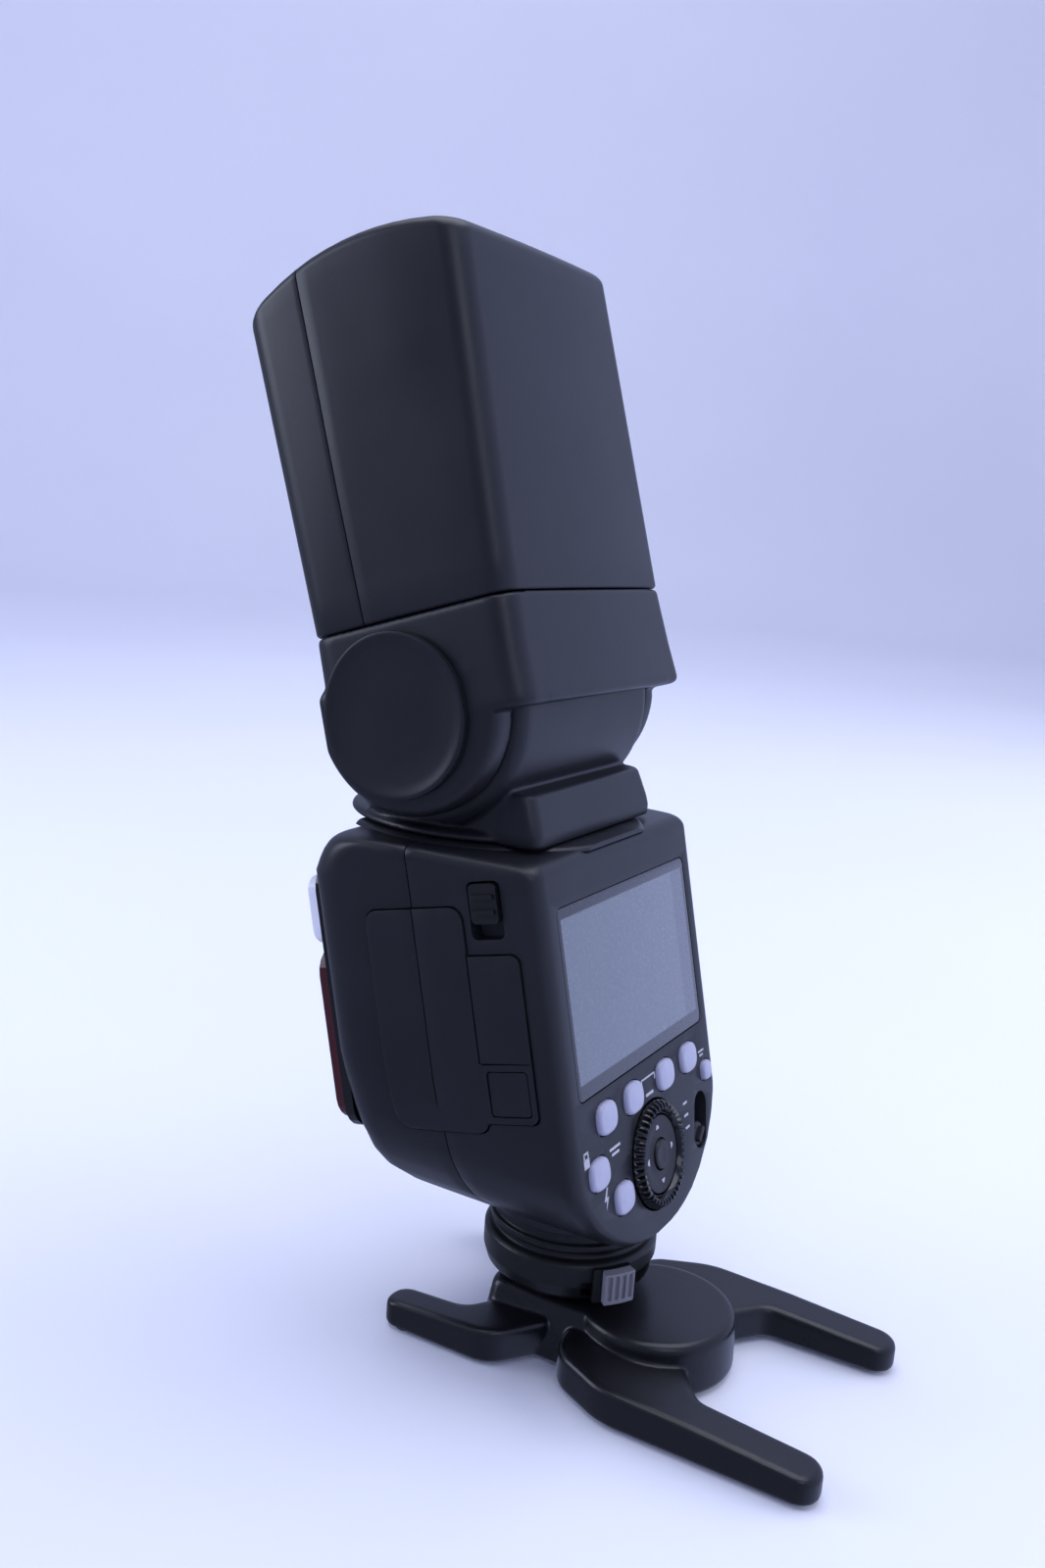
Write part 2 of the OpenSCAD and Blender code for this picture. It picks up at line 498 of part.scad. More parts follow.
module zoom_carriage() color(inner_c) hed() difference() {
  union() {
    bx(-27.9, 27.9, -15.6, 12, 66, 68.6);
    cyl_z(-26, 8, 2.1, 63, 72);
    cyl_z(26, 8, 2.1, 63, 72);
    cyl_z(22, -12, 3, 63.5, 72);
  }
  for (x = [-26, 26]) cyl_z(x, 8, 1.5, 20, 90);
  cyl_z(22, -12, 1.56, 20, 90);
  bx(-19.6, 18.6, -14.4, 10.2, 60, 80);
}
module reflector() color([0.85, 0.85, 0.87]) hed() difference() {
  along_x(round_poly([[-14.2, 74.6, 0], [-8, 60, 3], [4, 60, 3], [10, 74.6, 0]], 6), -19.4, 18.4);
  along_x(round_poly([[-13.2, 75, 0], [-7.2, 61, 3], [3.2, 61, 3], [9, 75, 0]], 6), -18.4, 17.4);
  cyl_x(-2, 65.2, 1.9, -30, 30);
}
module flash_tube() color([0.9, 0.93, 0.96, 0.5]) hed() cyl_x(-2, 65.2, 1.6, -19.3, 18.3);
module wide_panel() color([0.85, 0.88, 0.92, 0.4]) hed() {
  rr(-24.4, 24.4, -22.2, -21.1, 0.3, 46, head_top + 2.4);
}
module bounce_card() color([0.9, 0.9, 0.9]) hed() {
  rr(-24.4, 24.4, -23.7, -22.6, 0.3, 46, head_top + 2.0);
}

stand_frame();
tripod_insert();
stand_pads();
rear_shell();
front_shell();
lcd_glass();
lcd_module();
control_pcb();
key_switches();
main_pcb();
main_capacitor();
transformer();
battery_contacts();
front_bezel();
led_diffuser();
af_window();
port_block();
swivel_collar();
foot_base();
shoe_plate();
contact_block();
foot_screws();
battery_case();
battery_cells();
latch_button();
lock_slider();
key_1();
key_2();
key_3();
key_4();
key_test();
key_lock();
key_mode();
dial_ring();
nav_pad();
set_button();
power_knob();
port_cover();
lock_lever();
lever_grip();
lock_pin();
contact_pins();
neck_housing();
swivel_ring();
pivot_shaft();
head_lower();
head_rear();
head_front();
head_bezel();
fresnel_lens();
pivot_caps();
head_frame();
zoom_motor();
zoom_screw();
zoom_carriage();
reflector();
flash_tube();
wide_panel();
bounce_card();
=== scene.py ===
import math

import bmesh
import bpy
import numpy as np
from mathutils import Matrix, Vector


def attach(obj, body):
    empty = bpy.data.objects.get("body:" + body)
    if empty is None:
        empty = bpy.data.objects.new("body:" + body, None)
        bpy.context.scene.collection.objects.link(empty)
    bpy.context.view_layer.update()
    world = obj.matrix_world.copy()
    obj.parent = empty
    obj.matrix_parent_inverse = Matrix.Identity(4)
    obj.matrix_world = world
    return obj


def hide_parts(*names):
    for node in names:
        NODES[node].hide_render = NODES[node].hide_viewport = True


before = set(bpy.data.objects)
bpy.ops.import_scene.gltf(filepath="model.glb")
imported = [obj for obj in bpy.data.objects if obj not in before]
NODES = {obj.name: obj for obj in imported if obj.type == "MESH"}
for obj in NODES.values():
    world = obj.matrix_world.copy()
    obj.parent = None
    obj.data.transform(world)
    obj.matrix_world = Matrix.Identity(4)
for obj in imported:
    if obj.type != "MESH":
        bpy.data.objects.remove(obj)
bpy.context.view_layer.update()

MM = 0.001
LEAN = 12.7                     # degrees the body leans back
HEAD_LEAN = 17.1                # degrees the head leans back
PIVOT = (0.0, 27.5, 128.9)      # middle of the tilt axis
SWIVEL = (0, 25.0, 0)           # foot of the swivel axis
FACE_Y = 26.8                   # distance of the key face from the body's own origin
BODY_TOP, BODY_RIM = 105.5, 2.4
SIN, COS = math.sin(math.radians(LEAN)), math.cos(math.radians(LEAN))
WORLD = Matrix.Identity(4)
BODY = Matrix.Rotation(-math.radians(LEAN), 4, "X")
POWER = BODY @ Matrix.Translation((22.3, 0, 37.6)) @ Matrix.Rotation(math.radians(16), 4, "Y")
HEAD = Matrix.Translation(PIVOT) @ Matrix.Rotation(-math.radians(HEAD_LEAN), 4, "X")


# ---------------------------------------------------------------- mesh helpers
def linked(name, data):
    """A new object in the scene."""
    obj = bpy.data.objects.new(name, data)
    bpy.context.scene.collection.objects.link(obj)
    return obj


def make(name, verts, faces, place=WORLD):
    """A mesh object from millimetre points given in a local frame."""
    mesh = bpy.data.meshes.new(name)
    pts = [tuple((place @ Vector(v)) * MM) for v in verts]
    mesh.from_pydata(pts, [], faces)
    mesh.validate()
    bm = bmesh.new()
    bm.from_mesh(mesh)
    bmesh.ops.recalc_face_normals(bm, faces=bm.faces)
    bm.to_mesh(mesh)
    bm.free()
    return linked(name, mesh)


def settle(obj):
    """Apply every modifier into the mesh."""
    bpy.context.view_layer.update()
    graph = bpy.context.evaluated_depsgraph_get()
    mesh = bpy.data.meshes.new_from_object(obj.evaluated_get(graph))
    old = obj.data
    obj.modifiers.clear()
    obj.data = mesh
    bpy.data.meshes.remove(old)
    return obj


def shade(obj, angle=32):
    """Smooth shading with edges sharper than angle kept crisp."""
    mesh = obj.data
    mesh.polygons.foreach_set("use_smooth", [True] * len(mesh.polygons))
    bm = bmesh.new()
    bm.from_mesh(mesh)
    limit = math.radians(angle)
    for e in bm.edges:
        e.smooth = len(e.link_faces) == 2 and e.calc_face_angle(0) < limit
    bm.to_mesh(mesh)
    bm.free()
    return obj


def cut(obj, cutter, how="DIFFERENCE"):
    """Applies a boolean with a cutter, which is then removed."""
    mod = obj.modifiers.new("cut", "BOOLEAN")
    mod.operation = how
    mod.solver = "EXACT"
    mod.object = cutter
    settle(obj)
    bpy.data.objects.remove(cutter)
    return obj


def bevel(obj, width, segments=2, angle=40):
    """Adds a bevel modifier on edges sharper than angle; width is in millimetres."""
    mod = obj.modifiers.new("bevel", "BEVEL")
    mod.width = width * MM
    mod.segments = segments
    mod.limit_method = "ANGLE"
    mod.angle_limit = math.radians(angle)
    mod.use_clamp_overlap = True
    return obj


def join(name, objs):
    """One object from several meshes."""
    bm = bmesh.new()
    for o in objs:
        bm.from_mesh(o.data)
        bpy.data.objects.remove(o)
    mesh = bpy.data.meshes.new(name)
    bm.to_mesh(mesh)
    bm.free()
    return linked(name, mesh)


def ring(corners, n=8, m=4, bulge=0.0):
    """Points round a polygon with rounded corners (x, y, r).

    Each corner gets n steps and each side m; sides may swell outwards by bulge.
    """
    q = [np.array(c[:2], float) for c in corners]
    arcs = []
    for i, c in enumerate(corners):
        p, a, b = q[i], q[i - 1], q[(i + 1) % len(q)]
        u, v = (a - p) / np.linalg.norm(a - p), (b - p) / np.linalg.norm(b - p)
        half = math.acos(max(-1, min(1, float(u @ v)))) / 2
        r = max(c[2], 0.01)
        o = p + (u + v) / np.linalg.norm(u + v) * r / math.sin(half)
        s, e = p + u * r / math.tan(half), p + v * r / math.tan(half)
        a0 = math.atan2(*(s - o)[::-1])
        a1 = math.atan2(*(e - o)[::-1])
        da = (a1 - a0 + math.pi) % (2 * math.pi) - math.pi
        arcs.append([o + r * np.array([math.cos(a0 + da * k / n), math.sin(a0 + da * k / n)])
                     for k in range(n + 1)])
    out = []
    for i, arc in enumerate(arcs):
        out += arc
        a, b = arc[-1], arcs[(i + 1) % len(arcs)][0]
        d = b - a
        normal = np.array([d[1], -d[0]]) / max(np.linalg.norm(d), 1e-9)
        for k in range(1, m):
            t = k / m
            out.append(a + d * t + normal * bulge * 4 * t * (1 - t))
    return np.array(out)


def rect(x0, x1, y0, y1, r, n=6, m=1):
    """Outline of a rectangle with corner radius r."""
    return ring([(x0, y0, r), (x1, y0, r), (x1, y1, r), (x0, y1, r)], n, m)


def loft(name, rings, place=WORLD):
    """Quads between equal rings of 3-D points, closed at both ends."""
    count = len(rings[0])
    verts = [tuple(p) for r in rings for p in r]
    faces = []
    for k in range(len(rings) - 1):
        for i in range(count):
            j = (i + 1) % count
            faces.append((k * count + i, k * count + j, (k + 1) * count + j, (k + 1) * count + i))
    faces.append(tuple(range(count - 1, -1, -1)))
    faces.append(tuple((len(rings) - 1) * count + i for i in range(count)))
    return make(name, verts, faces, place)


def lift(points, level, axis):
    """2-D points placed at a level along X, Y or Z."""
    level = np.full(len(points), level)
    a, b = points[:, 0], points[:, 1]
    return {"x": np.stack([level, a, b], 1), "y": np.stack([a, level, b], 1),
            "z": np.stack([a, b, level], 1)}[axis]


def shrink(points, d):
    """Moves a closed outline inwards by d."""
    prev, nxt = np.roll(points, 1, 0), np.roll(points, -1, 0)
    t = nxt - prev
    t /= np.maximum(np.linalg.norm(t, axis=1), 1e-9)[:, None]
    n = np.stack([t[:, 1], -t[:, 0]], 1)
    area = np.sum(points[:, 0] * nxt[:, 1] - nxt[:, 0] * points[:, 1])
    return points - n * d * (1 if area > 0 else -1)


def prism(name, points, lo, hi, axis, place=WORLD, f_lo=0.0, f_hi=0.0, steps=4):
    """An outline extruded along an axis, with rounded rims of radius f_lo and f_hi."""
    rings = []
    for k in range(steps + 1 if f_lo else 1):
        a = math.pi / 2 * k / steps
        rings.append(lift(shrink(points, f_lo * (1 - math.sin(a))), lo + f_lo * (1 - math.cos(a)), axis))
    for k in range(steps + 1 if f_hi else 1):
        a = math.pi / 2 * k / steps
        rings.append(lift(shrink(points, f_hi * (1 - math.cos(a))), hi - f_hi * (1 - math.sin(a)), axis))
    return loft(name, rings, place)


def box(name, x0, x1, y0, y1, z0, z1, place=WORLD):
    """A plain block between two limits on each axis."""
    return prism(name, np.array([(x0, y0), (x1, y0), (x1, y1), (x0, y1)], float), z0, z1, "z", place)


def lathe(name, profile, axis="z", centre=(0, 0, 0), place=WORLD, segments=96):
    """A profile of (radius, level) turned about an axis."""
    turns = [2 * math.pi * i / segments for i in range(segments)]
    rings = []
    for r, level in profile:
        pts = np.array([(r * math.cos(a), r * math.sin(a)) for a in turns])
        rings.append(lift(pts, level, axis) + np.array(centre))
    return loft(name, rings, place)


def soften(name, nodes, voxel, passes, extra=()):
    """One blended, round-edged mesh from CAD nodes and extra pieces."""
    bm = bmesh.new()
    for n in nodes:
        bm.from_mesh(NODES[n].data)
    for o in extra:
        bm.from_mesh(o.data)
        bpy.data.objects.remove(o)
    mesh = bpy.data.meshes.new(name)
    bm.to_mesh(mesh)
    bm.free()
    obj = linked(name, mesh)
    mod = obj.modifiers.new("remesh", "REMESH")
    mod.mode = "VOXEL"
    mod.voxel_size = voxel * MM
    mod = obj.modifiers.new("smooth", "SMOOTH")
    mod.factor = 0.5
    mod.iterations = passes
    return settle(obj)


# ---------------------------------------------------------------- materials
def nodes_of(name):
    """A new material with its tree and its main shader."""
    mat = bpy.data.materials.new(name)
    mat.use_nodes = True
    tree = mat.node_tree
    return mat, tree, tree.nodes["Principled BSDF"]


def coords(tree, stretch=(1.0, 1.0, 1.0)):
    """Object coordinates, stretched along each axis."""
    tc = tree.nodes.new("ShaderNodeTexCoord")
    mp = tree.nodes.new("ShaderNodeMapping")
    mp.inputs["Scale"].default_value = stretch
    tree.links.new(tc.outputs["Object"], mp.inputs["Vector"])
    return mp.outputs["Vector"]


def noise(tree, vec, scale, detail=4.0, rough=0.55):
    n = tree.nodes.new("ShaderNodeTexNoise")
    n.inputs["Scale"].default_value = scale
    n.inputs["Detail"].default_value = detail
    n.inputs["Roughness"].default_value = rough
    tree.links.new(vec, n.inputs["Vector"])
    return n.outputs["Fac"]


def ramp(tree, fac, stops):
    """A colour ramp through (position, colour) stops."""
    r = tree.nodes.new("ShaderNodeValToRGB")
    r.color_ramp.elements[0].position = stops[0][0]
    r.color_ramp.elements[0].color = stops[0][1]
    r.color_ramp.elements[1].position = stops[-1][0]
    r.color_ramp.elements[1].color = stops[-1][1]
    for p, c in stops[1:-1]:
        e = r.color_ramp.elements.new(p)
        e.color = c
    tree.links.new(fac, r.inputs["Fac"])
    return r.outputs["Color"]


def two_tone(tree, fac, dark, light):
    """A ramp between two colours."""
    return ramp(tree, fac, [(0.3, dark), (0.7, light)])


def opaque(colour, share=1.0):
    return tuple(c * share for c in colour) + (1,)


def spread(tree, fac, lo, hi, a=0.3, b=0.7):
    """Maps a..b onto lo..hi."""
    m = tree.nodes.new("ShaderNodeMapRange")
    m.inputs["From Min"].default_value = a
    m.inputs["From Max"].default_value = b
    m.inputs["To Min"].default_value = lo
    m.inputs["To Max"].default_value = hi
    tree.links.new(fac, m.inputs["Value"])
    return m.outputs["Result"]


def bump(tree, bsdf, height, strength, distance):
    b = tree.nodes.new("ShaderNodeBump")
    b.inputs["Strength"].default_value = strength
    b.inputs["Distance"].default_value = distance
    tree.links.new(height, b.inputs["Height"])
    tree.links.new(b.outputs["Normal"], bsdf.inputs["Normal"])


def grey(v, tint=(1.0, 1.0, 1.14)):
    return (v * tint[0], v * tint[1], v * tint[2], 1.0)


def plastic(name, level, rough, grain=2600, depth=0.35, spec=0.5, tint=(1.0, 1.0, 1.16)):
    """Moulded plastic with a fine spark-eroded grain and faint handling marks."""
    mat, tree, bsdf = nodes_of(name)
    vec = coords(tree)
    cloud = noise(tree, vec, 38, 3)
    fine = noise(tree, vec, grain, 2, 0.6)
    tree.links.new(ramp(tree, cloud, [(0.3, grey(level * 0.86, tint)), (0.55, grey(level, tint)),
                                      (0.75, grey(level * 1.16, tint))]), bsdf.inputs["Base Color"])
    mixed = tree.nodes.new("ShaderNodeMath")
    mixed.operation = "MULTIPLY_ADD"
    tree.links.new(fine, mixed.inputs[0])
    mixed.inputs[1].default_value = 0.35
    tree.links.new(cloud, mixed.inputs[2])
    worn = spread(tree, mixed.outputs[0], rough - 0.05, rough + 0.09, 0.4, 1.0)
    tree.links.new(worn, bsdf.inputs["Roughness"])
    bsdf.inputs["Specular IOR Level"].default_value = spec
    bump(tree, bsdf, fine, depth, 0.00006)
    return mat


def metal(name, colour, rough, stretch=(1, 1, 30)):
    """Bare metal with fine streaks along its stretched axis."""
    mat, tree, bsdf = nodes_of(name)
    streak = noise(tree, coords(tree, stretch), 300, 3)
    tree.links.new(two_tone(tree, streak, opaque(colour, 0.8), opaque(colour)), bsdf.inputs["Base Color"])
    bsdf.inputs["Metallic"].default_value = 1.0
    tree.links.new(spread(tree, streak, rough - 0.06, rough + 0.1), bsdf.inputs["Roughness"])
    bump(tree, bsdf, streak, 0.25, 0.00003)
    return mat


def clear(name, colour, rough):
    """Clear plastic or glass."""
    mat, tree, bsdf = nodes_of(name)
    vec = coords(tree)
    fine = noise(tree, vec, 900, 2)
    tree.links.new(two_tone(tree, fine, opaque(colour, 0.96), opaque(colour)), bsdf.inputs["Base Color"])
    tree.links.new(spread(tree, fine, rough, rough + 0.05), bsdf.inputs["Roughness"])
    bsdf.inputs["Transmission Weight"].default_value = 0.9
    bsdf.inputs["IOR"].default_value = 1.49
    bump(tree, bsdf, fine, 0.1, 0.00002)
    return mat


def milky(name, colour, rough):
    """Translucent frosted plastic."""
    mat, tree, bsdf = nodes_of(name)
    vec = coords(tree)
    cloud = noise(tree, vec, 260, 3)
    fine = noise(tree, vec, 2400, 2)
    tree.links.new(two_tone(tree, cloud, opaque(colour, 0.93), opaque(colour)), bsdf.inputs["Base Color"])
    tree.links.new(spread(tree, fine, rough, rough + 0.1), bsdf.inputs["Roughness"])
    bsdf.inputs["Subsurface Weight"].default_value = 0.35
    bsdf.inputs["Subsurface Radius"].default_value = (0.002, 0.002, 0.0024)
    bsdf.inputs["Coat Weight"].default_value = 0.3
    bsdf.inputs["Coat Roughness"].default_value = 0.15
    bump(tree, bsdf, fine, 0.12, 0.00004)
    return mat


def display(name):
    """Dark glass border round a grey-blue panel with a slightly darker band at its right side."""
    mat, tree, bsdf = nodes_of(name)
    tc = tree.nodes.new("ShaderNodeTexCoord")
    sep = tree.nodes.new("ShaderNodeSeparateXYZ")
    tree.links.new(tc.outputs["Object"], sep.inputs[0])

    def step(sock, lo, hi, rise):
        m = tree.nodes.new("ShaderNodeMapRange")
        m.interpolation_type = "SMOOTHSTEP"
        m.inputs["From Min"].default_value = lo
        m.inputs["From Max"].default_value = hi
        m.inputs["To Min"].default_value = 0.0 if rise else 1.0
        m.inputs["To Max"].default_value = 1.0 if rise else 0.0
        tree.links.new(sock, m.inputs["Value"])
        return m.outputs["Result"]

    def times(a, b):
        m = tree.nodes.new("ShaderNodeMath")
        m.operation = "MULTIPLY"
        tree.links.new(a, m.inputs[0])
        tree.links.new(b, m.inputs[1])
        return m.outputs[0]

    def blend(share, under, over):
        m = tree.nodes.new("ShaderNodeMix")
        m.data_type = "RGBA"
        tree.links.new(share, m.inputs[0])
        tree.links.new(under, m.inputs[6])
        tree.links.new(over, m.inputs[7])
        return m.outputs[2]

    x, z = sep.outputs[0], sep.outputs[2]
    low, high, soft = 60.6 * COS + FACE_Y * SIN, 91.6 * COS + FACE_Y * SIN, 0.2
    sides = times(step(x, -0.0272, -0.0269, True), step(x, 0.0266, 0.0269, False))
    ends = times(step(z, (low - soft) * MM, (low + soft) * MM, True),
                 step(z, (high - soft) * MM, (high + soft) * MM, False))
    band = step(x, 0.0212, 0.0218, True)
    grain = noise(tree, coords(tree), 1400, 2)
    lit = two_tone(tree, grain, (0.128, 0.146, 0.186, 1), (0.136, 0.154, 0.196, 1))
    dim = two_tone(tree, grain, (0.098, 0.11, 0.144, 1), (0.105, 0.117, 0.152, 1))
    border = two_tone(tree, grain, (0.02, 0.021, 0.028, 1), (0.026, 0.027, 0.034, 1))
    whole = blend(times(sides, ends), border, blend(band, lit, dim))
    tree.links.new(whole, bsdf.inputs["Base Color"])
    tree.links.new(spread(tree, grain, 0.22, 0.3), bsdf.inputs["Roughness"])
    bsdf.inputs["Coat Weight"].default_value = 0.6
    bsdf.inputs["Coat Roughness"].default_value = 0.08
    return mat


M = {
    "black": plastic("black_plastic_grain", 0.0105, 0.37, 2600, 0.3, 0.5, (1.0, 1.02, 1.4)),
    "stand": plastic("stand_plastic_grain", 0.008, 0.3, 2200, 0.2, 0.5, (1.0, 1.0, 1.3)),
    "dark": plastic("dark_plastic_grain", 0.007, 0.4, 2000, 0.2),
    "gloss": plastic("gloss_black_moulded", 0.005, 0.16, 1500, 0.06, 0.6),
    "rubber": plastic("black_rubber_grain", 0.01, 0.6, 1800, 0.4, 0.3),
    "grip": plastic("grey_rubber_grain", 0.2, 0.55, 2000, 0.35, 0.35),
    "inner": plastic("inner_plastic_grain", 0.1, 0.5, 1500, 0.3),
    "key": milky("milky_key_plastic", (0.4, 0.41, 0.55), 0.32),
    "white": milky("frosted_white_plastic", (0.8, 0.8, 0.86), 0.38),
    "red": plastic("deep_red_window", 0.02, 0.12, 900, 0.05, 0.6, (2.6, 0.35, 0.5)),
    "clear": clear("clear_ribbed_plastic", (0.9, 0.93, 0.97), 0.04),
    "tube": clear("clear_lamp_glass", (0.95, 0.97, 1.0), 0.02),
    "steel": metal("brushed_steel_streaks", (0.58, 0.58, 0.6), 0.34),
    "brass": metal("turned_brass_streaks", (0.75, 0.56, 0.27), 0.32),
    "mirror": metal("rolled_mirror_metal", (0.88, 0.88, 0.9), 0.1, (30, 1, 1)),
    "board": plastic("board_solder_mask", 0.05, 0.38, 1200, 0.15, 0.5, (0.3, 1.2, 0.5)),
    "sleeve": plastic("capacitor_sleeve", 0.05, 0.4, 900, 0.1, 0.5, (0.7, 0.8, 1.9)),
    "print": plastic("printed_mark_ink", 0.42, 0.5, 1500, 0.05, 0.4),
    "display": display("display_glass_panel"),
}


def piece(obj, look, body, *stands_for, angle=32):
    """Gives a finished mesh its look and its body."""
    shade(obj, angle)
    obj.data.materials.clear()
    obj.data.materials.append(M[look])
    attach(obj, body)
    if stands_for:
        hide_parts(*stands_for)
    return obj


# ---------------------------------------------------------------- control body
def body_ring(z, grow=0.0):
    """Level outline of the leaning body at height z."""
    back = (-FACE_Y + z * SIN) / COS
    front = (24 + z * SIN) / COS
    if z < 45:
        front = np.interp(z, [28.5, 28.9, 29.8, 31.2, 33.5, 37, 41, 45],
                          [22, 25.5, 28.2, 30.2, 31.9, 33.3, 34.3, front])
    if z > 96.5:
        front = min(front, 36.9 + math.sqrt(max(0, 81 - (z - 96.5) ** 2)))
    wide = np.interp(z, [28.5, 28.8, 29.5, 30.8, 33.4, 37.6, 42, 46, 50, 54, 58, 62],
                     [6, 9.5, 13, 17.2, 22.2, 27.6, 31.2, 33.2, 34.7, 35.8, 36.9, 38])
    inset = 0.0
    if z > BODY_TOP - BODY_RIM:
        inset = BODY_RIM - math.sqrt(max(0, BODY_RIM ** 2 - (z - BODY_TOP + BODY_RIM) ** 2))
    hb, hf = min(33.7, wide) - inset + grow, min(37.6, wide) - inset + grow
    rb, rf = min(3.4, hb * 0.5), min(8.5, hf * 0.6)
    back, front = back + inset, front - inset
    pts = ring([(-hb, back, rb), (hb, back, rb), (hf, front, rf), (-hf, front, rf)], 8, 6, 0.25)
    pts[:, 1] = np.maximum(pts[:, 1], back)
    return lift(pts, z, "z")


LEVELS = [28.5, 28.65, 28.8, 29.1, 29.5, 30.1, 30.8, 31.6, 32.5, 33.4, 34.8, 36.2, 37.6, 39.4, 41, 42.6, 44.2,
          46, 48, 50, 52, 54, 58, 62, 70, 80, 90, 96.5, 99, 101, 102.3, 103.1, 103.7, 104.2, 104.6, 104.9,
          105.15, 105.35, 105.45, 105.5]


def body_loft(name, grow=0.0):
    """The whole body as one solid, swollen sideways by grow."""
    return loft(name, [body_ring(z, grow) for z in LEVELS])


def barrel(x, z, w, h, n=2.7, count=56):
    """Superellipse outline of a key."""
    a = np.linspace(0, 2 * math.pi, count, endpoint=False)
    c, q = np.cos(a), np.sin(a)
    return np.column_stack([x + w / 2 * np.sign(c) * np.abs(c) ** (2 / n),
                            z + h / 2 * np.sign(q) * np.abs(q) ** (2 / n)])


# battery cover outline (y, z, corner) and keys (x, z, width, height)
BATTERY = [(-21.5, 55.6, 1.6), (-11.1, 55.6, 0.4), (-11.1, 53.6, 2.5), (9.5, 53.6, 3.5), (9.5, 96.1, 2.5),
           (-11.1, 96.1, 2.8), (-11.1, 86.9, 0.5), (-21.5, 86.9, 1.8)]
KEYS = {"key_1": (-19.1, 52.2, 7.4, 6.2), "key_2": (-7.4, 52.2, 7.4, 6.2), "key_3": (7.4, 52.2, 7.4, 6.2),
        "key_4": (19.1, 52.2, 7.4, 6.2), "key_test": (27.3, 47, 4.2, 4.2), "key_lock": (-24.4, 43.2, 7.2, 6),
        "key_mode": (-15.9, 35.4, 7.2, 6)}
DIAL_Z = 38.2
DIAL = (0, 0, DIAL_Z)
SEAM = (-0.93, -0.68)           # the groove between the two shells
OUTSIDE = -34.0                 # a level clear of the key face, for cutters

shell = body_loft("body_shell")
cutters = [prism("c", rect(-28.35, 28.35, 57.45, 93.85, 1.6), OUTSIDE, -FACE_Y + 1.25, "y", BODY)]
for kx, kz, kw, kh in KEYS.values():
    cutters.append(prism("c", barrel(kx, kz, kw + 0.5, kh + 0.5), OUTSIDE, -21.0, "y", BODY))
cutters.append(lathe("c", [(11.1, OUTSIDE), (11.1, -21)], "y", DIAL, BODY))
cutters.append(prism("c", rect(-3.1, 3.1, -6, 6, 3.0), OUTSIDE, -22.0, "y", POWER))
cut(shell, join("cuts", cutters))
grown = [(y - 0.25 if y < -5 else y + 0.25, z + (-0.25 if z < 70 else 0.25), r) for y, z, r in BATTERY]
cutters = [prism("c", ring(grown, 5, 1), -50, -31.0, "x", BODY),
           prism("c", rect(-19.3, -12.7, 89.8, 100.6, 1.2), -50, -31.6, "x", BODY),
           prism("c", rect(-9.2, 9.2, 61.8, 90.2, 2), 34.4, 50, "x", BODY)]
cut(shell, join("cuts", cutters))
cut(shell, prism("c", rect(-11, 9.4, 53.9, 95.9, 2.2), -33, 1.0, "x", BODY))
cut(shell, prism("c", rect(-20.5, -12.1, 56.8, 65.6, 1), -40, -28.5, "x", BODY))
cut(shell, box("c", -60, 60, *SEAM, -10, 140, BODY))
bevel(shell, 0.22)
settle(shell)
piece(shell, "black", "flash_body", "rear_shell", "front_shell", angle=28)

skirt = lathe("body_skirt", [(14, 28.42), (16.6, 28.42), (17.0, 28.6), (17.2, 29), (17.2, 33), (14, 33)])
piece(skirt, "black", "flash_body")

# battery cap, flush with the side, with its inner block
cap = body_loft("battery_cap", 0.35)
cut(cap, prism("c", ring(BATTERY, 6, 1), -50, -31.6, "x", BODY), "INTERSECT")
cuts = [box("c", -50, -35.75, *SEAM, 40, 110, BODY),
        box("c", -50, -34.75, -11.25, -10.95, 66.9, 87.5, BODY),
        box("c", -50, -34.35, -22, -11.4, 66.75, 67.0, BODY)]
cut(cap, join("cuts", cuts))
cut(cap, prism("c", rect(-20.45, -12.15, 56.85, 65.55, 0.8), -50, -30, "x", BODY))
bevel(cap, 0.15)
settle(cap)
inner = prism("battery_block", rect(-10.8, 9.2, 54, 95.8, 2.2), -33.5, 0.6, "x", BODY, 0, 1.0)
piece(join("battery_pack", [cap, inner]), "black", "battery", "battery_case", angle=28)

# ---------------------------------------------------------------- display, keys and dial
glass = prism("display_panel", rect(-28.2, 28.2, 57.6, 93.7, 1.5), -FACE_Y, -FACE_Y + 1.1, "y", BODY, 0.3, 0)
piece(glass, "display", "flash_body", "lcd_glass")


def key(name, x, z, w, h):
    """A barrel-shaped translucent key with a crowned top."""
    outline = barrel(x, z, w, h)
    rings = [lift(outline, -22.0, "y"), lift(outline, -FACE_Y + 0.1, "y")]
    centre = outline.mean(0)
    for t in (0.12, 0.3, 0.5, 0.7, 0.86, 1.0):
        a = t * math.pi / 2
        rings.append(lift(centre + (outline - centre) * (1 - 0.16 * (1 - math.cos(a))) * (1 - 0.25 * t ** 4),
                          -FACE_Y + 0.1 - 1.15 * math.sin(a), "y"))
    for s, d in ((0.5, 0.12), (0.2, 0.17)):
        rings.append(lift(centre + (outline - centre) * s, -FACE_Y - 1.05 - d, "y"))
    piece(loft(name + "_cap", rings, BODY), "key", name + "_cap", name, angle=60)


for key_name, (kx, kz, kw, kh) in KEYS.items():
    key(key_name, kx, kz, kw, kh)

